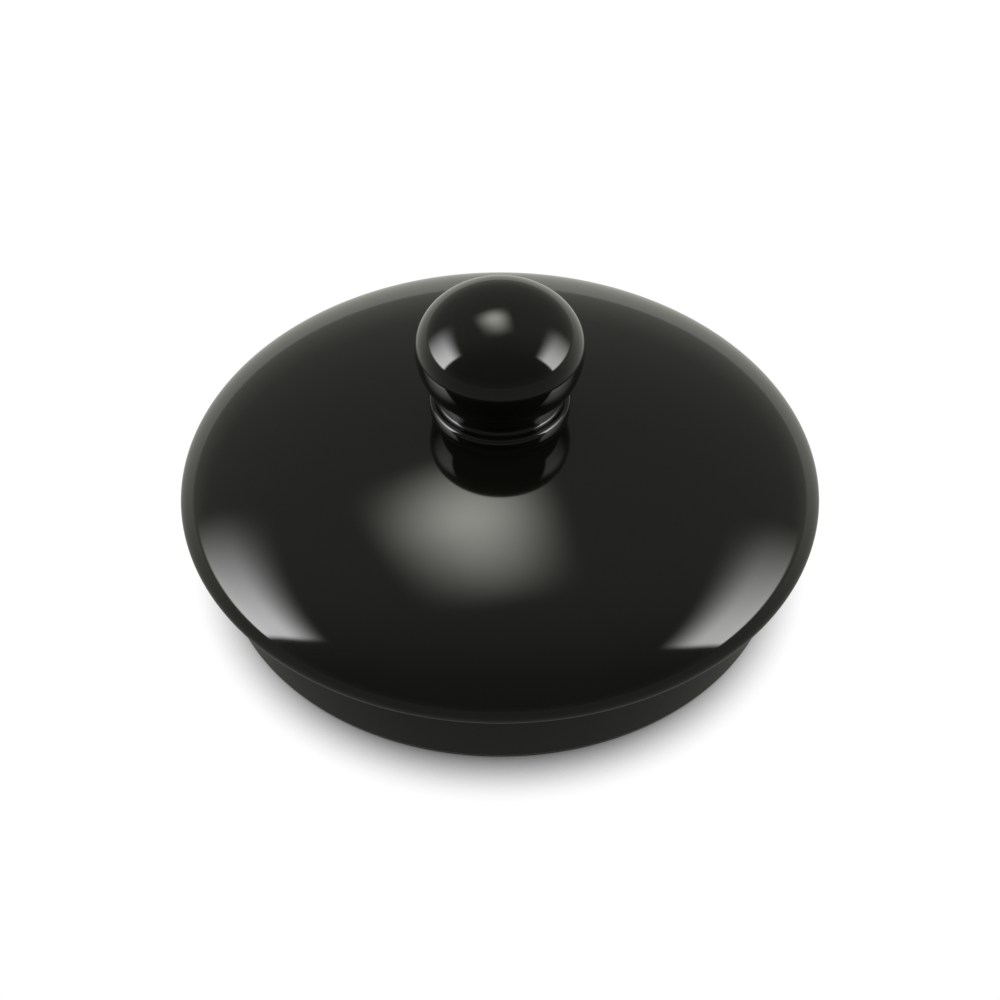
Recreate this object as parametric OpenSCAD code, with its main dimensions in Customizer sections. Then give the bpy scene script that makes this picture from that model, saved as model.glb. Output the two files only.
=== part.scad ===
// Drop-in sink stopper: a domed cover over a plug body, held together by one
// bolt that runs up into a ball knob. Millimetres, +Z up, base at z = 0.

/* [Outlet] */
// Diameter of the sink outlet that the stopper closes
outlet_d = 89; // [80:1:110]
// Gap all round between the skirt and the outlet
outlet_gap = 2; // [1:0.5:3]

/* [Cover] */
// How far the rim reaches past the skirt
rim_overhang = 5.5; // [5:0.5:10]
// Height of the rim from its lower edge to its widest line
rim_h = 1.1; // [0.8:0.1:2]
// How far the rim's lower edge tucks in under the widest line
rim_tuck = 0.45; // [0.2:0.05:0.8]
// Height of the crown above the widest line
crown_rise = 15.7; // [13:0.1:20]
// Fullness of the crown outwards, where 2 is an ellipse
crown_power_r = 1.86; // [1.8:0.02:2.2]
// Fullness of the crown upwards, where 2 is an ellipse
crown_power_z = 1.73; // [1.6:0.01:2.2]
// Thickness of the crown's wall
cover_wall = 2.6; // [2:0.1:3.4]
// Depth of the socket that takes the plug body, from the rim's underside
socket_depth = 3.4; // [3.2:0.1:4.5]
// Diameter of the boss that presses on the ballast
boss_d = 22; // [18:0.5:28]

/* [Plug body] */
// Height of the skirt from its base to the rim's underside
skirt_h = 13.4; // [11:0.1:20]
// Thickness of the skirt's wall
skirt_wall = 2.8; // [2:0.1:4]
// Thickness of the web across the skirt
web_t = 2.4; // [2:0.1:3.2]
// Rounding of the skirt's lower edges
skirt_edge = 0.7; // [0.3:0.1:1]
// Width of the shoulder where the skirt steps in to its spigot
shoulder_w = 1.2; // [1:0.1:1.4]
// Chamfer on the outer edge of the shoulder
shoulder_edge = 0.6; // [0.4:0.1:0.8]
// Number of ribs under the web
rib_count = 6; // [3:1:12]
// Thickness of a rib
rib_t = 2; // [1.2:0.1:3]
// Height of a rib below the web
rib_h = 3; // [1.5:0.5:5]
// Gap from the flat washer to the ribs' inner ends
rib_gap = 1; // [0.5:0.5:3]
// Diameter of the hub that centres the ballast
hub_d = 15; // [12:0.5:18]

/* [Ballast] */
// Thickness of the ballast ring
ballast_t = 4; // [3:0.5:5]
// Gap from the ballast to the inside of the crown
ballast_gap = 1; // [0.5:0.1:2]

/* [Knob] */
// Diameter of the knob at its widest
knob_d = 24.5; // [20:0.5:32]
// Height of the knob above its widest line
knob_cap_h = 9; // [6:0.5:12]
// Half height of the ellipse that shapes the knob's underside
knob_under_h = 11.2; // [8:0.1:13]
// Diameter of the neck under the knob
neck_d = 18; // [17:0.1:18.8]
// Height of the neck's straight part, above its cove
neck_rise = 0.7; // [0.1:0.1:2]
// Diameter of the collar under the neck
collar_d = 20.7; // [20:0.1:25]
// Thickness of the collar
collar_t = 1.6; // [1.4:0.1:3]
// Rounding of the collar's upper edge
collar_edge = 0.8; // [0.3:0.05:1]
// Wall of the brass insert round its thread
insert_wall = 1.45; // [1.2:0.05:2]
// Length of the insert inside the knob
insert_grip = 7.6; // [6:0.1:9]
// Reach of the insert's flange past its wall
insert_flange = 1.5; // [1:0.1:2]

/* [Bolt and washers] */
// Diameter of the bolt's thread
bolt_d = 6; // [5:0.5:7]
// Length of the bolt's thread inside the insert
bolt_grip = 7.35; // [6:0.05:8.5]
// Width of the bolt's hexagon across its flats
bolt_af = 10; // [9:0.5:13]
// Height of the bolt's head
bolt_head_h = 4; // [3:0.5:5]
// Outer diameter of the lock washer
lock_washer_d = 11; // [10:0.5:13]
// Thickness of the lock washer
lock_washer_t = 1.6; // [1:0.1:2]
// Width of the split in the lock washer
lock_washer_split = 1; // [0.6:0.1:1.5]
// Outer diameter of the flat washer
flat_washer_d = 18; // [14:1:20]
// Thickness of the flat washer
flat_washer_t = 1.6; // [1:0.1:2]
// Outer diameter of the rubber washer under the web
seal_washer_d = 17; // [13:1:19]
// Thickness of the rubber washer
seal_washer_t = 1.5; // [1:0.1:2.5]

/* [Seals] */
// Thickness of the rim gasket
gasket_t = 1.5; // [1:0.1:2.5]
// Reach of the rim gasket past the skirt
gasket_reach = 3.1; // [2:0.1:4]
// Height of the gasket's lip, which hangs round the top of the skirt
gasket_lip = 0.5; // [0.3:0.1:0.7]
// Thickness of both rubber rings
ring_t = 1.2; // [1:0.1:1.6]
// Spare width of the grooves that hold the rubber rings
ring_slack = 0.4; // [0.2:0.1:0.6]
// Diameter of the collar seal at the middle of its rubber
collar_seal_d = 16; // [15:0.5:17]

/* [Fits] */
// Gap between faces that turn or slide on each other
running_gap = 0.05; // [0.02:0.01:0.1]
// Gap between a part and what it is pushed into
push_gap = 0.1; // [0.05:0.05:0.3]
// Gap round the bolt in the parts that it passes through
bolt_gap = 0.25; // [0.1:0.05:0.5]

/* [Hidden] */
$fn = 96;

// Cutters reach this far past the solids that they cut.
past = 1;
crown_steps = 36;
knob_steps = 28;
edge_steps = 6;
// The crown's inner surface is followed out to this share of its radius,
// because the slope grows without limit at the widest line.
crown_reach = 0.98;

skirt_r = outlet_d / 2 - outlet_gap;
cover_r = skirt_r + rim_overhang;
spigot_r = skirt_r - shoulder_w;
socket_r = spigot_r + push_gap;
// Width of the ledge that closes the socket.
ledge_w = 2;
cavity_r = socket_r - ledge_w;

rim_z = skirt_h;
widest_z = rim_z + rim_h;
socket_z = rim_z + socket_depth;
gasket_z = rim_z - gasket_t;
shoulder_z = gasket_z + gasket_lip;
web_z = skirt_h;
web_top = web_z + web_t;
spigot_top = socket_z - push_gap;
ballast_z = web_top;
ballast_top = ballast_z + ballast_t;

bolt_r = bolt_d / 2;
bolt_hole_r = bolt_r + bolt_gap;
insert_bore_r = bolt_r + running_gap;
insert_r = insert_bore_r + insert_wall;
insert_flange_r = insert_r + insert_flange;

collar_r = collar_d / 2;
collar_bore_r = insert_r + push_gap;
// The flat land on the crown ends where the collar does.
land_z = crown_z(collar_r);
collar_top = land_z + collar_t;
// The collar's counterbore takes half of its thickness.
collar_lip_z = land_z + collar_t / 2;

knob_r = knob_d / 2;
neck_r = neck_d / 2;
// The cove ends where the collar's flat top does.
cove_r = collar_r - collar_edge - neck_r;
knob_z = collar_top + running_gap;
neck_top = knob_z + cove_r + neck_rise;
knob_widest_z = neck_top + knob_under_h * sqrt(1 - pow(neck_r / knob_r, 2));
insert_z = land_z + running_gap;
insert_top = knob_z + insert_grip;

seal_washer_z = web_z - seal_washer_t;
flat_washer_z = seal_washer_z - flat_washer_t;
lock_washer_z = flat_washer_z - lock_washer_t;
bolt_top = knob_z + bolt_grip;

groove_w = ring_t + ring_slack;
groove_z = web_z + (spigot_top - web_z - groove_w) / 2;
groove_r = socket_r - ring_t;

// Height of the crown's outer surface at radius r.
function crown_z(r) =
    widest_z + crown_rise * pow(1 - pow(r / cover_r, crown_power_r), 1 / crown_power_z);

// Slope of the crown's outer surface at radius r, as an angle.
function crown_slope(r) = let (
    u = pow(r / cover_r, crown_power_r),
    rise = crown_rise * crown_power_r / crown_power_z / cover_r
) atan(rise * pow(r / cover_r, crown_power_r - 1) * pow(1 - u, 1 / crown_power_z - 1));

// Point of the crown's inner surface under radius r.
function crown_inner(r) = let (a = crown_slope(r))
    [r - cover_wall * sin(a), crown_z(r) - cover_wall * cos(a)];

// Radius under which the crown's inner surface is limit_z high, by halving.
function inner_radius(limit_z, low = 0, high = cover_r * crown_reach, turns = 24) =
    turns == 0
        ? crown_inner(low)[0]
        : let (mid = (low + high) / 2)
          crown_inner(mid)[1] > limit_z
              ? inner_radius(limit_z, mid, high, turns - 1)
              : inner_radius(limit_z, low, mid, turns - 1);

// Points of an ellipse about [r, z] from angle a to angle b, without the first.
function ellipse_arc(r, z, half_w, half_h, a, b, steps) = [
    for (i = [1 : steps]) let (t = a + (b - a) * i / steps)
        [r + half_w * cos(t), z + half_h * sin(t)]
];

// Points of a round arc about [r, z].
function round_arc(r, z, radius, a, b) = [
    for (i = [0 : edge_steps]) let (t = a + (b - a) * i / edge_steps)
        [r + radius * cos(t), z + radius * sin(t)]
];

// Outer crown from the land's edge to the widest line, closer near the rim.
crown_points = [
    for (i = [0 : crown_steps]) let (t = 90 * i / crown_steps)
        let (r = collar_r + (cover_r - collar_r) * sin(t)) [r, crown_z(r)]
];

// Inner crown from near the axis out to the cavity's wall.
inner_points = [
    for (i = [1 : crown_steps]) let (p = crown_inner(cover_r * crown_reach * i / crown_steps))
        if (p[0] < cavity_r && p[1] > socket_z) p
];

module ring(r_in, r_out, z, h) {
    translate([0, 0, z])
        difference() {
            cylinder(h = h, r = r_out);
            translate([0, 0, -past]) cylinder(h = h + 2 * past, r = r_in);
        }
}

module rubber_ring(r, z) {
    translate([0, 0, z])
        rotate_extrude()
            translate([r, 0]) circle(d = ring_t, $fn = 32);
}

// Cutter that goes through everything between two heights.
module through_hole(r, from_z, to_z) {
    translate([0, 0, from_z - past]) cylinder(h = to_z - from_z + 2 * past, r = r);
}

// Ball of the knob with its neck and cove, bored for the insert.
module knob() {
    under_a = asin((neck_top - knob_widest_z) / knob_under_h);
    outline = concat(
        [[0, knob_z]],
        round_arc(neck_r + cove_r, knob_z + cove_r, cove_r, 270, 180),
        [[neck_r, neck_top]],
        ellipse_arc(0, knob_widest_z, knob_r, knob_under_h, under_a, 0, knob_steps / 2),
        ellipse_arc(0, knob_widest_z, knob_r, knob_cap_h, 0, 90, knob_steps)
    );
    color("#0b0b0b")
        difference() {
            rotate_extrude() polygon(outline);
            translate([0, 0, knob_z - past])
                cylinder(h = insert_top - knob_z + past, r = insert_r);
        }
}

// Threaded brass insert, whose flange traps the collar.
module knob_insert() {
    color("goldenrod")
        difference() {
            union() {
                translate([0, 0, insert_z]) cylinder(h = insert_top - insert_z, r = insert_r);
                translate([0, 0, insert_z])
                    cylinder(h = collar_lip_z - insert_z - running_gap, r = insert_flange_r);
            }
            through_hole(insert_bore_r, insert_z, insert_top);
        }
}

// Collar that swivels between the knob and the insert's flange.
module knob_collar() {
    edge_r = collar_r - collar_edge;
    edge_z = collar_top - collar_edge;
    outline = concat(
        [[collar_bore_r, collar_lip_z]],
        [[insert_flange_r + push_gap, collar_lip_z]],
        [[insert_flange_r + push_gap, land_z]],
        [[collar_r, land_z]],
        round_arc(edge_r, edge_z, collar_edge, 0, 90),
        [[collar_bore_r, collar_top]]
    );
    color("#0d0d0d") rotate_extrude() polygon(outline);
}

// Rubber ring in the land, under the collar.
module collar_seal() {
    color("#161616") rubber_ring(collar_seal_d / 2, land_z - running_gap - ring_t / 2);
}

// Crown, rim, socket and boss in one moulding.
module dome_cover() {
    shell = concat(
        [[0, land_z]],
        crown_points,
        ellipse_arc(cover_r - rim_tuck, widest_z, rim_tuck, rim_h, 0, -90, edge_steps),
        [[0, rim_z]]
    );
    cavity = concat(
        [[0, socket_z - past]],
        [[0, crown_inner(0)[1]]],
        inner_points,
        [[cavity_r, inner_points[len(inner_points) - 1][1]]],
        [[cavity_r, socket_z - past]]
    );
    color("#0a0a0a")
        difference() {
            union() {
                difference() {
                    rotate_extrude() polygon(shell);
                    rotate_extrude() polygon(cavity);
                    translate([0, 0, rim_z - past])
                        cylinder(h = socket_depth + past, r = socket_r);
                }
                translate([0, 0, ballast_top])
                    cylinder(h = land_z - cover_wall / 2 - ballast_top, r = boss_d / 2);
            }
            through_hole(bolt_hole_r, ballast_top, land_z);
            ring(
                collar_seal_d / 2 - groove_w / 2, collar_seal_d / 2 + groove_w / 2,
                land_z - ring_t - 2 * running_gap, ring_t + past
            );
        }
}

// Rubber ring between the plug body's spigot and the cover's socket.
module chamber_seal() {
    color("#161616") rubber_ring(groove_r + ring_t / 2, groove_z + groove_w / 2);
}

// Gasket that seals on the sink's flange. The shoulder clamps its inner edge
// against the rim, and its lip hangs round the skirt.
module rim_gasket() {
    outline = [
        [spigot_r, shoulder_z], [skirt_r + push_gap, shoulder_z],
        [skirt_r + push_gap, gasket_z], [skirt_r + gasket_reach, gasket_z],
        [skirt_r + gasket_reach, rim_z], [spigot_r, rim_z]
    ];
    color("#1c1c1c") rotate_extrude() polygon(outline);
}

// Skirt, web, ribs and hub in one moulding.
module plug_body() {
    inner_r = skirt_r - skirt_wall;
    // Webs and ribs end inside the skirt's wall, where they join it.
    join_r = inner_r + skirt_wall / 2;
    rib_start = flat_washer_d / 2 + rib_gap;
    wall = concat(
        round_arc(inner_r + skirt_edge, skirt_edge, skirt_edge, 180, 270),
        round_arc(skirt_r - skirt_edge, skirt_edge, skirt_edge, 270, 360),
        [[skirt_r, shoulder_z - shoulder_edge], [skirt_r - shoulder_edge, shoulder_z]],
        [[spigot_r, shoulder_z], [spigot_r, spigot_top], [inner_r, spigot_top]]
    );
    color("#111111")
        difference() {
            union() {
                rotate_extrude() polygon(wall);
                translate([0, 0, web_z]) cylinder(h = web_t, r = join_r);
                translate([0, 0, web_z]) cylinder(h = web_t + ballast_t - push_gap, r = hub_d / 2);
                for (i = [0 : rib_count - 1])
                    rotate(i * 360 / rib_count)
                        translate([rib_start, -rib_t / 2, web_z - rib_h])
                            cube([join_r - rib_start, rib_t, rib_h + web_t / 2]);
            }
            ring(groove_r, spigot_r + past, groove_z, groove_w);
            through_hole(bolt_hole_r, web_z, ballast_top);
        }
}

// Steel ring in the sealed chamber that keeps the stopper down in water.
module ballast_ring() {
    color("slategray")
        ring(hub_d / 2 + push_gap, inner_radius(ballast_top) - ballast_gap, ballast_z, ballast_t);
}

// Hexagon bolt up through every part into the insert.
module centre_bolt() {
    corner_r = bolt_af / 2 / cos(30);
    head_z = lock_washer_z - bolt_head_h;
    color("silver") {
        translate([0, 0, head_z]) cylinder(h = bolt_top - head_z, r = bolt_r);
        // The cone takes the corners off the lower face of the hexagon.
        intersection() {
            translate([0, 0, head_z]) cylinder(h = bolt_head_h, r = corner_r, $fn = 6);
            translate([0, 0, head_z])
                cylinder(h = bolt_head_h, r1 = bolt_af / 2, r2 = bolt_af / 2 + bolt_head_h);
        }
    }
}

// Split spring washer against the bolt's head.
module lock_washer() {
    color("silver")
        difference() {
            ring(bolt_hole_r, lock_washer_d / 2, lock_washer_z, lock_washer_t);
            translate([0, -lock_washer_split / 2, lock_washer_z - past])
                cube([lock_washer_d, lock_washer_split, lock_washer_t + 2 * past]);
        }
}

module flat_washer() {
    color("silver") ring(bolt_hole_r, flat_washer_d / 2, flat_washer_z, flat_washer_t);
}

// Rubber washer that seals the bolt's hole from below.
module seal_washer() {
    color("#1c1c1c")
        ring(bolt_r + running_gap, seal_washer_d / 2, seal_washer_z, seal_washer_t);
}

knob();
knob_insert();
knob_collar();
collar_seal();
dome_cover();
chamber_seal();
rim_gasket();
plug_body();
ballast_ring();
centre_bolt();
lock_washer();
flat_washer();
seal_washer();
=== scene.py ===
"""Looks of the drop-in sink stopper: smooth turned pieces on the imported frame, in a white studio."""

import math

import bmesh
import bpy
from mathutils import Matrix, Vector


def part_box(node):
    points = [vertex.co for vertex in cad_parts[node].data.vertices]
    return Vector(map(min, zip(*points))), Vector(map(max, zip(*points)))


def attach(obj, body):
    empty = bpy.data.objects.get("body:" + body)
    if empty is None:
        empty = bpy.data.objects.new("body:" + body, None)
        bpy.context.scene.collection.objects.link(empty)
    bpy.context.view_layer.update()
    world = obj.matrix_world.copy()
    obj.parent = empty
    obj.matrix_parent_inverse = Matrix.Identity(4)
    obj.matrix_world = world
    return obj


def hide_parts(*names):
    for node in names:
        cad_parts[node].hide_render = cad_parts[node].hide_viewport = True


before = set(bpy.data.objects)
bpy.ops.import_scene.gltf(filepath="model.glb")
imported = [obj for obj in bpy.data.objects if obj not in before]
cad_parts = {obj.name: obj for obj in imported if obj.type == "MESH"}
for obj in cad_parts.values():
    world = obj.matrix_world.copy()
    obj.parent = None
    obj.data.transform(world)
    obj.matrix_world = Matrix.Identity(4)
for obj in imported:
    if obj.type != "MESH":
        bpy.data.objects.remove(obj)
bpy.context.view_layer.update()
MM = 0.001

# Cover. Sizes that a CAD node's box gives are read from it, here and below.
CROWN_POWER_R = 1.86
CROWN_POWER_Z = 1.73
CROWN_REACH = 0.98
RIM_H = 1.1 * MM
RIM_TUCK = 0.45 * MM
COVER_WALL = 2.6 * MM
SOCKET_DEPTH = 3.4 * MM
LEDGE_W = 2.0 * MM
BOSS_R = 11.0 * MM

# Plug body.
SKIRT_WALL = 2.8 * MM
SKIRT_EDGE = 0.7 * MM
SHOULDER_W = 1.2 * MM
SHOULDER_EDGE = 0.6 * MM
SHOULDER_DROP = 1.0 * MM
WEB_T = 2.4 * MM
WEB_FILLET = 0.8 * MM
HUB_R = 7.5 * MM
RIB_COUNT = 6
RIB_T = 2.0 * MM
RIB_DRAFT = 0.3 * MM
RIB_H = 3.0 * MM
RIB_GAP = 1.0 * MM

# Knob, collar and insert.
KNOB_CAP_H = 9.0 * MM
KNOB_UNDER_H = 11.2 * MM
NECK_R = 9.0 * MM
NECK_RISE = 0.7 * MM
COLLAR_EDGE = 0.8 * MM
INSERT_R = 4.5 * MM
INSERT_BORE_R = 3.05 * MM

# Bolt, washers and seals.
BOLT_R = 3.0 * MM
BOLT_HOLE_R = 3.25 * MM
BOLT_HALF_FLATS = 5.0 * MM
BOLT_HEAD_H = 4.0 * MM
HEAD_FACE_R = 4.6 * MM
THREAD_PITCH = 1.0 * MM
THREAD_DEPTH = 0.6 * MM
THREAD_ROWS = 12
THREAD_ROOT = 0.12
THREAD_FLANK = 0.7
LOCK_SPLIT = 1.0 * MM
LOCK_SLANT = 0.8 * MM
WASHER_EDGE = 0.2 * MM
RUBBER_EDGE = 0.15 * MM
RING_SLACK = 0.4 * MM
PUSH_GAP = 0.1 * MM
RUN_GAP = 0.05 * MM

# Points round a turned piece, and round a small one. A point nearer to the axis than ON_AXIS is on it.
TURNS = 192
SMALL_TURNS = 96
ON_AXIS = 1e-7

# Surface textures: scale per metre, and the depth and strength of their bumps.
POLISH_SCALE = 55
PEEL_SCALE = 420
PEEL_DEPTH = 0.02 * MM
GRAIN_SCALE = 900
GRAIN_DEPTH = 0.05 * MM
GRAIN_STRENGTH = 0.3
TURNING_SCALE = 900
TURNING_DEPTH = 0.02 * MM
TURNING_STRENGTH = 0.15
BLOTCH_SCALE = 160

# Camera, as distance from the stopper in rim radii, elevation and lens.
VIEW_DISTANCE = 7.0
VIEW_ELEVATION = math.radians(43.55)
VIEW_DROP = 0.0704
LENS_MM = 79.26
SENSOR_MM = 36

# Studio, in metres, with brightness as a share of the picture's white. The gloss mirrors a dimmer floor
# than the camera sees, and one that is brighter behind the stopper than in front. Each turn says between
# which headings, from -1 in front to 1 behind, the brightness changes. The drawn shadow is black where the
# share of open sky is SHADOW_DARK, and gone at SHADOW_CLEAR.
FLOOR_R = 3.0
FLOOR_FRONT = 0.24
FLOOR_BACK = 0.72
FLOOR_TURN = (-0.6, 1)
SHADOW_SAMPLES = 64
SHADOW_REACH = 0.15
SHADOW_DARK = 0.25
SHADOW_CLEAR = 0.68
SHADOW_SIDES = 0.11
BACKDROP = 1.02
ROOM_HORIZON = 0.40
ROOM_MIDDLE = 0.27
ROOM_MIDDLE_HEIGHT = 0.25
ROOM_TOP = 0.30
ROOM_FRONT = 0.44
ROOM_TURN = (-0.7, 0.3)
ROOM_BLUE = 0.92
SOFTBOX_DISTANCE = 0.9


def node_radius(node):
    """Radius of a turned CAD node, from its box."""
    low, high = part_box(node)
    return max(high.x, high.y, -low.x, -low.y)


def arc(r, z, half_w, half_h, start, end, steps):
    """Points of an ellipse about (r, z) between two angles in degrees, without the first."""
    points = []
    for i in range(1, steps + 1):
        a = math.radians(start + (end - start) * i / steps)
        points.append((r + half_w * math.cos(a), z + half_h * math.sin(a)))
    return points


def rounded_box(r_in, r_out, low, high, edge, steps=4):
    """Outline of a ring with four rounded edges."""
    return (
        arc(r_out - edge, low + edge, edge, edge, -90, 0, steps)
        + arc(r_out - edge, high - edge, edge, edge, 0, 90, steps)
        + arc(r_in + edge, high - edge, edge, edge, 90, 180, steps)
        + arc(r_in + edge, low + edge, edge, edge, 180, 270, steps)
    )


def new_piece(name, bm):
    """Turns a bmesh into an object in the scene."""
    bmesh.ops.recalc_face_normals(bm, faces=bm.faces)
    mesh = bpy.data.meshes.new(name)
    bm.to_mesh(mesh)
    bm.free()
    piece = bpy.data.objects.new(name, mesh)
    bpy.context.scene.collection.objects.link(piece)
    return piece


def lathe(name, outline, closed=True, turns=TURNS, shape=None):
    """A mesh turned about Z. shape(angle, r, z), if given, changes the radius round the turn.

    An outline point on the axis makes one vertex.
    """
    bm = bmesh.new()
    rings = []
    for r, z in outline:
        if r < ON_AXIS:
            rings.append([bm.verts.new((0, 0, z))])
            continue
        ring = []
        for i in range(turns):
            a = 2 * math.pi * i / turns
            radius = shape(a, r, z) if shape else r
            ring.append(bm.verts.new((radius * math.cos(a), radius * math.sin(a), z)))
        rings.append(ring)
    pairs = list(zip(rings, rings[1:]))
    if closed:
        pairs.append((rings[-1], rings[0]))
    for a, b in pairs:
        if len(a) == 1 and len(b) == 1:
            continue
        for i in range(turns):
            j = (i + 1) % turns
            if len(a) == 1:
                bm.faces.new((a[0], b[i], b[j]))
            elif len(b) == 1:
                bm.faces.new((a[i], a[j], b[0]))
            else:
                bm.faces.new((a[i], a[j], b[j], b[i]))
    return new_piece(name, bm)


def smooth_by_angle(piece, degrees=28):
    """Smooth shading with crisp edges where faces meet at more than the given angle."""
    piece.data.shade_smooth()
    piece.data.set_sharp_from_angle(angle=math.radians(degrees))


# ---------------------------------------------------------------- materials

def new_material(name):
    material = bpy.data.materials.new(name)
    material.use_nodes = True
    nodes = material.node_tree.nodes
    return material, nodes, material.node_tree.links, nodes["Principled BSDF"]


def own_coordinates(nodes):
    """Coordinates that belong to the object itself."""
    return nodes.new("ShaderNodeTexCoord").outputs["Object"]


def noise(nodes, links, scale, detail, roughness=0.5):
    texture = nodes.new("ShaderNodeTexNoise")
    texture.inputs["Scale"].default_value = scale
    texture.inputs["Detail"].default_value = detail
    texture.inputs["Roughness"].default_value = roughness
    links.new(own_coordinates(nodes), texture.inputs["Vector"])
    return texture.outputs["Fac"]


def ranged(nodes, links, source, low, high):
    """Maps a 0 to 1 source to low..high."""
    node = nodes.new("ShaderNodeMapRange")
    node.inputs["To Min"].default_value = low
    node.inputs["To Max"].default_value = high
    links.new(source, node.inputs["Value"])
    return node.outputs["Result"]


def tinted(nodes, links, source, dark, light):
    """A colour between dark and light, chosen by the source."""
    ramp = nodes.new("ShaderNodeValToRGB")
    ramp.color_ramp.elements[0].color = (*dark, 1)
    ramp.color_ramp.elements[1].color = (*light, 1)
    links.new(source, ramp.inputs["Fac"])
    return ramp.outputs["Color"]


def bumped(nodes, links, shader, source, strength, depth):
    bump = nodes.new("ShaderNodeBump")
    bump.inputs["Strength"].default_value = strength
    bump.inputs["Distance"].default_value = depth
    links.new(source, bump.inputs["Height"])
    links.new(bump.outputs["Normal"], shader.inputs["Normal"])


def gloss_black(name, dark, light, rough_low, rough_high, orange_peel):
    """Polished black moulding, with faint orange peel and uneven polish."""
    material, nodes, links, shader = new_material(name)
    shader.inputs["IOR"].default_value = 1.5
    polish = noise(nodes, links, POLISH_SCALE, 4)
    peel = noise(nodes, links, PEEL_SCALE, 2)
    links.new(tinted(nodes, links, polish, dark, light), shader.inputs["Base Color"])
    links.new(ranged(nodes, links, polish, rough_low, rough_high), shader.inputs["Roughness"])
    bumped(nodes, links, shader, peel, orange_peel, PEEL_DEPTH)
    return material


def rubber(name, dark, light, rough_low, rough_high):
    """Matt moulded rubber with a fine grain."""
    material, nodes, links, shader = new_material(name)
    grain = noise(nodes, links, GRAIN_SCALE, 6, 0.7)
    links.new(tinted(nodes, links, grain, dark, light), shader.inputs["Base Color"])
    links.new(ranged(nodes, links, grain, rough_low, rough_high), shader.inputs["Roughness"])
    bumped(nodes, links, shader, grain, GRAIN_STRENGTH, GRAIN_DEPTH)
    return material


def turned_metal(name, dark, light, rough_low, rough_high):
    """Metal with fine rings left by turning."""
    material, nodes, links, shader = new_material(name)
    shader.inputs["Metallic"].default_value = 1.0
    rings = nodes.new("ShaderNodeTexWave")
    rings.wave_type = "RINGS"
    rings.rings_direction = "Z"
    rings.inputs["Scale"].default_value = TURNING_SCALE
    rings.inputs["Distortion"].default_value = 0.6
    rings.inputs["Detail"].default_value = 3
    links.new(own_coordinates(nodes), rings.inputs["Vector"])
    blotches = noise(nodes, links, BLOTCH_SCALE, 5)
    links.new(tinted(nodes, links, blotches, dark, light), shader.inputs["Base Color"])
    links.new(ranged(nodes, links, blotches, rough_low, rough_high), shader.inputs["Roughness"])
    bumped(nodes, links, shader, rings.outputs["Fac"], TURNING_STRENGTH, TURNING_DEPTH)
    return material


GLOSS = gloss_black("gloss_black", (0.0030, 0.0030, 0.0022), (0.0046, 0.0046, 0.0034), 0.05, 0.08, 0.04)
SKIRT = gloss_black("skirt_black", (0.0030, 0.0030, 0.0028), (0.0048, 0.0048, 0.0044), 0.16, 0.24, 0.12)
RUBBER = rubber("rubber_black", (0.010, 0.010, 0.010), (0.022, 0.022, 0.022), 0.5, 0.75)
BRASS = turned_metal("brass_turned", (0.55, 0.38, 0.15), (0.76, 0.56, 0.27), 0.22, 0.38)
STEEL = turned_metal("steel_satin", (0.42, 0.42, 0.43), (0.62, 0.62, 0.63), 0.25, 0.42)


def paint(piece, material):
    piece.data.materials.clear()
    piece.data.materials.append(material)


def place(piece, node, body, material):
    """Puts a modelled piece in the place of a CAD node."""
    smooth_by_angle(piece)
    paint(piece, material)
    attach(piece, body)
    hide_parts(node)


# ------------------------------------------------------------------- pieces

COVER_R = node_radius("dome_cover")
COLLAR_R = node_radius("knob_collar")
SKIRT_R = node_radius("plug_body")
SPIGOT_R = SKIRT_R - SHOULDER_W
SOCKET_R = SPIGOT_R + PUSH_GAP
RIM_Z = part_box("dome_cover")[0].z
LAND_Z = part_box("knob_collar")[0].z
WIDEST_Z = RIM_Z + RIM_H
BALLAST_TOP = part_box("ballast_ring")[1].z


def crown_share(r):
    """Height of the crown at radius r, as a share of its full rise."""
    return (1 - (r / COVER_R) ** CROWN_POWER_R) ** (1 / CROWN_POWER_Z)


CROWN_RISE = (LAND_Z - WIDEST_Z) / crown_share(COLLAR_R)


def crown_z(r):
    return WIDEST_Z + CROWN_RISE * crown_share(r)


def crown_inner(r):
    """Point of the inner surface, one wall in from the crown at radius r."""
    step = 0.001 * MM
    slope = math.atan2(crown_z(r - step) - crown_z(r + step), 2 * step)
    return r - COVER_WALL * math.sin(slope), crown_z(r) - COVER_WALL * math.cos(slope)


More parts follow.
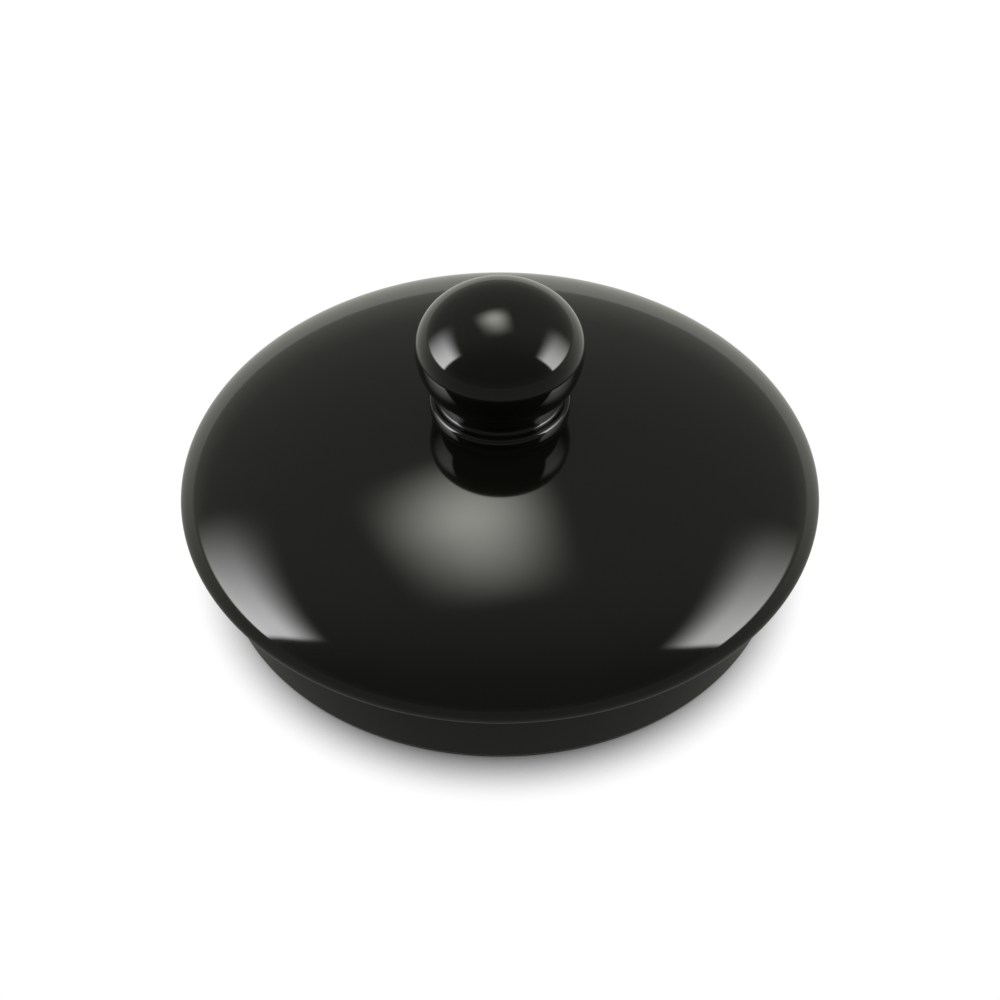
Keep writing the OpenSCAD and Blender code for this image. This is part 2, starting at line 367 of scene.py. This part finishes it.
def make_cover():
    """Crown, rim, socket, boss and the groove of the collar seal."""
    seal_low, seal_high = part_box("collar_seal")
    seal_t = seal_high.z - seal_low.z
    seal_r = node_radius("collar_seal") - seal_t / 2
    groove_half = (seal_t + RING_SLACK) / 2
    groove_z = seal_low.z - RUN_GAP
    socket_z = RIM_Z + SOCKET_DEPTH
    cavity_r = SOCKET_R - LEDGE_W
    crown_steps = 96
    outline = [(BOLT_HOLE_R, LAND_Z)]
    outline += [(seal_r - groove_half, LAND_Z), (seal_r - groove_half, groove_z)]
    outline += [(seal_r + groove_half, groove_z), (seal_r + groove_half, LAND_Z)]
    for i in range(crown_steps + 1):
        r = COLLAR_R + (COVER_R - COLLAR_R) * math.sin(math.pi / 2 * i / crown_steps)
        outline.append((min(r, COVER_R), crown_z(min(r, COVER_R))))
    outline += arc(COVER_R - RIM_TUCK, WIDEST_Z, RIM_TUCK, RIM_H, 0, -90, 10)
    outline += [(SOCKET_R, RIM_Z), (SOCKET_R, socket_z), (cavity_r, socket_z)]
    inner_steps = 60
    inner = [crown_inner(COVER_R * CROWN_REACH * i / inner_steps) for i in range(inner_steps, 0, -1)]
    inner = [(r, z) for r, z in inner if BOSS_R < r < cavity_r and z > socket_z]
    outline += [(cavity_r, inner[0][1])] + inner
    outline += [(BOSS_R, inner[-1][1]), (BOSS_R, BALLAST_TOP), (BOLT_HOLE_R, BALLAST_TOP)]
    place(lathe("cover", outline), "dome_cover", "stopper", GLOSS)


def make_knob():
    """Ball, neck and cove, bored for the insert."""
    low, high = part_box("knob")
    bore_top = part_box("knob_insert")[1].z
    cove_r = COLLAR_R - COLLAR_EDGE - NECK_R
    neck_top = low.z + cove_r + NECK_RISE
    widest_z = high.z - KNOB_CAP_H
    under = math.degrees(math.asin((neck_top - widest_z) / KNOB_UNDER_H))
    knob_r = NECK_R / math.cos(math.radians(under))
    near_pole = 89.9
    outline = [(0, bore_top), (INSERT_R, bore_top), (INSERT_R, low.z), (NECK_R + cove_r, low.z)]
    outline += arc(NECK_R + cove_r, low.z + cove_r, cove_r, cove_r, 270, 180, 14)
    outline.append((NECK_R, neck_top))
    outline += arc(0, widest_z, knob_r, KNOB_UNDER_H, under, 0, 40)
    outline += arc(0, widest_z, knob_r, KNOB_CAP_H, 0, near_pole, 60)
    outline.append((0, high.z))
    place(lathe("knob_ball", outline, closed=False), "knob", "knob", GLOSS)


def make_collar():
    low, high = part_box("knob_collar")
    bore_r = INSERT_R + PUSH_GAP
    step_r = node_radius("knob_insert") + PUSH_GAP
    step_z = (low.z + high.z) / 2
    edge_z = high.z - COLLAR_EDGE
    outline = [(bore_r, step_z), (step_r, step_z), (step_r, low.z), (COLLAR_R, low.z), (COLLAR_R, edge_z)]
    outline += arc(COLLAR_R - COLLAR_EDGE, edge_z, COLLAR_EDGE, COLLAR_EDGE, 0, 90, 10)
    outline.append((bore_r, high.z))
    place(lathe("foot_collar", outline), "knob_collar", "collar", GLOSS)


def make_insert():
    low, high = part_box("knob_insert")
    flange_r = node_radius("knob_insert")
    flange_top = (LAND_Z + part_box("knob_collar")[1].z) / 2 - RUN_GAP
    outline = [(INSERT_BORE_R, low.z), (flange_r, low.z), (flange_r, flange_top)]
    outline += [(INSERT_R, flange_top), (INSERT_R, high.z), (INSERT_BORE_R, high.z)]
    place(lathe("insert_brass", outline, turns=SMALL_TURNS), "knob_insert", "knob", BRASS)


def add_rib(bm, angle, start, end, low, high):
    """A rib along a radius, narrower at its lower edge."""
    wide, narrow = RIB_T / 2, RIB_T / 2 - RIB_DRAFT
    corners = []
    for r in (start, end):
        for across, z in ((wide, high), (-wide, high), (-narrow, low), (narrow, low)):
            x = r * math.cos(angle) - across * math.sin(angle)
            y = r * math.sin(angle) + across * math.cos(angle)
            corners.append(bm.verts.new((x, y, z)))
    near, far = corners[:4], corners[4:]
    bm.faces.new(near)
    bm.faces.new(far)
    for i in range(4):
        j = (i + 1) % 4
        bm.faces.new((near[i], near[j], far[j], far[i]))


def join_ribs(plug, inner_r):
    """Joins the ribs to the web and the skirt, as one moulding."""
    start = node_radius("flat_washer") + RIB_GAP
    end = inner_r + SKIRT_WALL / 2
    bm = bmesh.new()
    for i in range(RIB_COUNT):
        add_rib(bm, 2 * math.pi * i / RIB_COUNT, start, end, RIM_Z - RIB_H, RIM_Z + WEB_T / 2)
    ribs = new_piece("ribs", bm)
    union = plug.modifiers.new("ribs", "BOOLEAN")
    union.operation = "UNION"
    union.solver = "EXACT"
    union.object = ribs
    joined = plug.evaluated_get(bpy.context.evaluated_depsgraph_get())
    mesh = bpy.data.meshes.new_from_object(joined)
    plug.modifiers.clear()
    plug.data = mesh
    bpy.data.objects.remove(ribs)


def make_plug():
    """Skirt, shoulder, spigot, web, hub and ribs."""
    seal_low, seal_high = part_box("chamber_seal")
    groove_r = SOCKET_R - (seal_high.z - seal_low.z)
    groove_low = seal_low.z - RING_SLACK / 2
    groove_high = seal_high.z + RING_SLACK / 2
    inner_r = SKIRT_R - SKIRT_WALL
    spigot_top = RIM_Z + SOCKET_DEPTH - PUSH_GAP
    shoulder_z = RIM_Z - SHOULDER_DROP
    web_top = RIM_Z + WEB_T
    hub_top = BALLAST_TOP - PUSH_GAP
    outline = arc(inner_r + SKIRT_EDGE, SKIRT_EDGE, SKIRT_EDGE, SKIRT_EDGE, 180, 270, 8)
    outline += arc(SKIRT_R - SKIRT_EDGE, SKIRT_EDGE, SKIRT_EDGE, SKIRT_EDGE, 270, 360, 8)
    outline += [(SKIRT_R, shoulder_z - SHOULDER_EDGE), (SKIRT_R - SHOULDER_EDGE, shoulder_z)]
    outline += [(SPIGOT_R, shoulder_z), (SPIGOT_R, groove_low)]
    outline += [(groove_r, groove_low), (groove_r, groove_high), (SPIGOT_R, groove_high)]
    outline += [(SPIGOT_R, spigot_top), (inner_r, spigot_top), (inner_r, web_top)]
    outline += [(HUB_R, web_top), (HUB_R, hub_top), (BOLT_HOLE_R, hub_top)]
    outline += [(BOLT_HOLE_R, RIM_Z), (inner_r - WEB_FILLET, RIM_Z)]
    outline += arc(inner_r - WEB_FILLET, RIM_Z - WEB_FILLET, WEB_FILLET, WEB_FILLET, 90, 0, 8)
    plug = lathe("plug", outline)
    join_ribs(plug, inner_r)
    place(plug, "plug_body", "stopper", SKIRT)


def make_gasket():
    low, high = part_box("rim_gasket")
    outer_r = node_radius("rim_gasket")
    lip_r = SKIRT_R + PUSH_GAP
    shoulder_z = high.z - SHOULDER_DROP
    outline = [(SPIGOT_R, shoulder_z), (lip_r, shoulder_z), (lip_r, low.z)]
    outline += arc(outer_r - RUBBER_EDGE, low.z + RUBBER_EDGE, RUBBER_EDGE, RUBBER_EDGE, -90, 0, 5)
    outline += [(outer_r, high.z), (SPIGOT_R, high.z)]
    place(lathe("gasket", outline), "rim_gasket", "stopper", RUBBER)


def make_rubber_ring(name, node):
    low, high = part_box(node)
    half = (high.z - low.z) / 2
    outline = arc(node_radius(node) - half, low.z + half, half, half, 0, 360, 24)
    place(lathe(name, outline), node, "stopper", RUBBER)


def make_washer(name, node, bore_r, edge, material):
    low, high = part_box(node)
    outline = rounded_box(bore_r, node_radius(node), low.z, high.z, edge)
    place(lathe(name, outline, turns=SMALL_TURNS), node, "stopper", material)


def make_lock_washer():
    """Spring washer with a slanted split on the +X side."""
    low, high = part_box("lock_washer")
    outline = rounded_box(BOLT_HOLE_R, node_radius("lock_washer"), low.z, high.z, WASHER_EDGE)
    bm = bmesh.new()
    sections = []
    for i in range(SMALL_TURNS + 1):
        section = []
        for r, z in outline:
            slant = LOCK_SLANT * ((z - low.z) / (high.z - low.z) - 0.5) / r
            split = (LOCK_SPLIT + LOCK_SLANT) / 2 / r
            a = slant + split + (2 * math.pi - 2 * split) * i / SMALL_TURNS
            section.append(bm.verts.new((r * math.cos(a), r * math.sin(a), z)))
        sections.append(section)
    for a, b in zip(sections, sections[1:]):
        for i in range(len(outline)):
            j = (i + 1) % len(outline)
            bm.faces.new((a[i], a[j], b[j], b[i]))
    bm.faces.new(sections[0])
    bm.faces.new(sections[-1])
    place(new_piece("spring_washer", bm), "lock_washer", "stopper", STEEL)


def make_bolt():
    """Hexagon bolt with a chamfered head, and a real thread where it shows under a raised knob."""
    low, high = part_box("centre_bolt")
    head_top = low.z + BOLT_HEAD_H
    corner_r = BOLT_HALF_FLATS / math.cos(math.pi / 6)
    chamfer_h = (corner_r - HEAD_FACE_R) * math.tan(math.pi / 6)
    thread_low = LAND_Z - 2 * THREAD_PITCH
    thread_high = high.z - THREAD_DEPTH

    def hexagon_or_thread(a, r, z):
        if z <= head_top and r > BOLT_R:
            return min(r, BOLT_HALF_FLATS / math.cos(a % (math.pi / 3) - math.pi / 6))
        if z < thread_low or z > thread_high:
            return r
        turn = (z / THREAD_PITCH - a / (2 * math.pi)) % 1
        tooth = min(max((abs(2 * turn - 1) - THREAD_ROOT) / THREAD_FLANK, 0), 1)
        return r - THREAD_DEPTH * (1 - tooth)

    outline = [(0, low.z), (HEAD_FACE_R, low.z), (corner_r, low.z + chamfer_h), (corner_r, head_top)]
    outline += [(BOLT_R, head_top), (BOLT_R, thread_low - THREAD_PITCH / THREAD_ROWS)]
    rows = int((thread_high - thread_low) / THREAD_PITCH * THREAD_ROWS)
    outline += [(BOLT_R, thread_low + THREAD_PITCH * i / THREAD_ROWS) for i in range(rows + 1)]
    outline += [(BOLT_R - THREAD_DEPTH, high.z), (0, high.z)]
    bolt = lathe("bolt", outline, closed=False, turns=SMALL_TURNS, shape=hexagon_or_thread)
    place(bolt, "centre_bolt", "stopper", STEEL)


make_cover()
make_knob()
make_collar()
make_insert()
make_plug()
make_gasket()
make_rubber_ring("collar_ring", "collar_seal")
make_rubber_ring("chamber_ring", "chamber_seal")
make_washer("plain_washer", "flat_washer", BOLT_HOLE_R, WASHER_EDGE, STEEL)
make_washer("rubber_washer", "seal_washer", BOLT_R + RUN_GAP, RUBBER_EDGE, RUBBER)
make_lock_washer()
make_bolt()
paint(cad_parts["ballast_ring"], STEEL)


# ------------------------------------------------------------------- studio

def bare_material(name):
    """A material with an output and nothing else."""
    material = bpy.data.materials.new(name)
    material.use_nodes = True
    nodes = material.node_tree.nodes
    nodes.clear()
    return material, nodes, material.node_tree.links, nodes.new("ShaderNodeOutputMaterial")


def is_camera_ray(nodes):
    return nodes.new("ShaderNodeLightPath").outputs["Is Camera Ray"]


def smooth_step(nodes, links, source, start, end):
    """0 at start, 1 at end, with a soft ramp between them."""
    node = nodes.new("ShaderNodeMapRange")
    node.interpolation_type = "SMOOTHSTEP"
    node.inputs["From Min"].default_value = start
    node.inputs["From Max"].default_value = end
    links.new(source, node.inputs["Value"])
    return node.outputs["Result"]


def product(nodes, links, a, b):
    node = nodes.new("ShaderNodeMath")
    node.operation = "MULTIPLY"
    links.new(a, node.inputs[0])
    links.new(b, node.inputs[1])
    return node.outputs[0]


def glow(nodes, links, strength):
    node = nodes.new("ShaderNodeEmission")
    links.new(strength, node.inputs["Strength"])
    return node


def mixed(nodes, links, factor, first, second):
    node = nodes.new("ShaderNodeMixShader")
    links.new(factor, node.inputs["Fac"])
    links.new(first.outputs[0], node.inputs[1])
    links.new(second.outputs[0], node.inputs[2])
    return node


def split_xyz(nodes, links, vector):
    node = nodes.new("ShaderNodeSeparateXYZ")
    links.new(vector, node.inputs[0])
    return node.outputs


def make_floor():
    """White floor with a soft drawn shadow for the camera, and a dimmer one for the gloss to mirror."""
    bm = bmesh.new()
    bmesh.ops.create_circle(bm, cap_ends=True, radius=FLOOR_R, segments=SMALL_TURNS)
    floor = new_piece("floor", bm)
    material, nodes, links, output = bare_material("floor_white")
    heading = nodes.new("ShaderNodeVectorMath")
    heading.operation = "NORMALIZE"
    links.new(own_coordinates(nodes), heading.inputs[0])
    direction = split_xyz(nodes, links, heading.outputs["Vector"])
    open_sky = nodes.new("ShaderNodeAmbientOcclusion")
    open_sky.samples = SHADOW_SAMPLES
    open_sky.inputs["Distance"].default_value = SHADOW_REACH
    # The shadow is drawn thinner at the sides, where the side panels would light a real floor.
    sides = nodes.new("ShaderNodeMath")
    sides.operation = "MULTIPLY_ADD"
    links.new(product(nodes, links, direction["X"], direction["X"]), sides.inputs[0])
    sides.inputs[1].default_value = SHADOW_SIDES
    links.new(open_sky.outputs["AO"], sides.inputs[2])
    lit = smooth_step(nodes, links, sides.outputs[0], SHADOW_DARK, SHADOW_CLEAR)
    seen = glow(nodes, links, ranged(nodes, links, lit, 0, BACKDROP))
    behind = smooth_step(nodes, links, direction["Y"], *FLOOR_TURN)
    mirrored = glow(nodes, links, ranged(nodes, links, behind, FLOOR_FRONT, FLOOR_BACK))
    mirrored.inputs["Color"].default_value = (1, 1, ROOM_BLUE, 1)
    surface = mixed(nodes, links, is_camera_ray(nodes), mirrored, seen)
    # From below the floor is clear, so that the underside can be seen.
    from_below = nodes.new("ShaderNodeNewGeometry").outputs["Backfacing"]
    clear = nodes.new("ShaderNodeBsdfTransparent")
    links.new(mixed(nodes, links, from_below, surface, clear).outputs[0], output.inputs["Surface"])
    paint(floor, material)


def make_world():
    """Grey room that is darker on the camera's side, and a plain white backdrop for the camera."""
    world = bpy.data.worlds.new("studio")
    bpy.context.scene.world = world
    world.use_nodes = True
    nodes, links = world.node_tree.nodes, world.node_tree.links
    nodes.clear()
    direction = split_xyz(nodes, links, nodes.new("ShaderNodeTexCoord").outputs["Generated"])
    ramp = nodes.new("ShaderNodeValToRGB")
    elements = ramp.color_ramp.elements
    elements.new(ROOM_MIDDLE_HEIGHT)
    for element, value in zip(elements, (ROOM_HORIZON, ROOM_MIDDLE, ROOM_TOP)):
        element.color = (value, value, value * ROOM_BLUE, 1)
    links.new(direction["Z"], ramp.inputs["Fac"])
    room = nodes.new("ShaderNodeBackground")
    links.new(ramp.outputs["Color"], room.inputs["Color"])
    behind = smooth_step(nodes, links, direction["Y"], *ROOM_TURN)
    links.new(ranged(nodes, links, behind, ROOM_FRONT, 1.0), room.inputs["Strength"])
    white = nodes.new("ShaderNodeBackground")
    white.inputs["Color"].default_value = (1, 1, 1, 1)
    white.inputs["Strength"].default_value = BACKDROP
    output = nodes.new("ShaderNodeOutputWorld")
    links.new(mixed(nodes, links, is_camera_ray(nodes), room, white).outputs[0], output.inputs["Surface"])


def make_softbox(name, azimuth, elevation, size, strength, blue, fades):
    """A glowing panel that faces the stopper and adds its glow to the room behind it.

    azimuth and elevation are in degrees, and size is its width and height in metres. strength is the glow
    at full, and blue is the share of blue in it. fades gives the left, right, lower and upper edge. It says
    where each fade ends, as a share of the way from the middle to that edge, and a negative share reaches
    past the middle.
    """
    width, height = size
    left, right, low, high = fades
    bm = bmesh.new()
    bmesh.ops.create_grid(bm, x_segments=1, y_segments=1, size=0.5)
    bmesh.ops.scale(bm, vec=(width, height, 1), verts=bm.verts)
    panel = new_piece(name, bm)
    a, e = math.radians(azimuth), math.radians(elevation)
    towards = Vector((math.cos(a) * math.cos(e), math.sin(a) * math.cos(e), math.sin(e)))
    panel.location = Vector((0, 0, RIM_Z)) + towards * SOFTBOX_DISTANCE
    panel.rotation_mode = "QUATERNION"
    panel.rotation_quaternion = towards.to_track_quat("Z", "Y")
    material, nodes, links, output = bare_material(name)
    spot = split_xyz(nodes, links, own_coordinates(nodes))
    across = product(
        nodes, links,
        smooth_step(nodes, links, spot["X"], -width / 2, -width / 2 * left),
        smooth_step(nodes, links, spot["X"], width / 2, width / 2 * right),
    )
    up = product(
        nodes, links,
        smooth_step(nodes, links, spot["Y"], -height / 2, -height / 2 * low),
        smooth_step(nodes, links, spot["Y"], height / 2, height / 2 * high),
    )
    light = glow(nodes, links, ranged(nodes, links, product(nodes, links, across, up), 0, strength))
    light.inputs["Color"].default_value = (1, 1, blue, 1)
    clear = nodes.new("ShaderNodeBsdfTransparent")
    both = nodes.new("ShaderNodeAddShader")
    links.new(light.outputs[0], both.inputs[0])
    links.new(clear.outputs[0], both.inputs[1])
    links.new(both.outputs[0], output.inputs["Surface"])
    paint(panel, material)
    panel.visible_camera = False


def make_camera():
    data = bpy.data.cameras.new("camera")
    data.lens = LENS_MM
    data.sensor_width = SENSOR_MM
    camera = bpy.data.objects.new("camera", data)
    bpy.context.scene.collection.objects.link(camera)
    target = Vector((0, 0, RIM_Z - VIEW_DROP * COVER_R))
    back = Vector((0, -math.cos(VIEW_ELEVATION), math.sin(VIEW_ELEVATION)))
    camera.location = target + back * VIEW_DISTANCE * COVER_R
    camera.rotation_mode = "QUATERNION"
    camera.rotation_quaternion = (-back).to_track_quat("-Z", "Y")
    data.clip_start = 0.01
    data.clip_end = 20
    bpy.context.scene.camera = camera


make_floor()
make_world()
# Most of these numbers are rounded results of a fit.
make_softbox("box_left", 174, 25, (0.82, 0.76), 10.6, 1.0, (-0.9, 0.85, 0.85, 0.05))
make_softbox("box_right", 2, 27, (0.84, 0.74), 9.0, 0.98, (0.85, -0.9, 0.85, 0.05))
make_softbox("box_top", 106, 73, (0.56, 0.66), 9.5, 0.92, (-0.2, -0.5, 0.1, -0.5))
make_camera()
bpy.context.scene.view_settings.view_transform = "Standard"
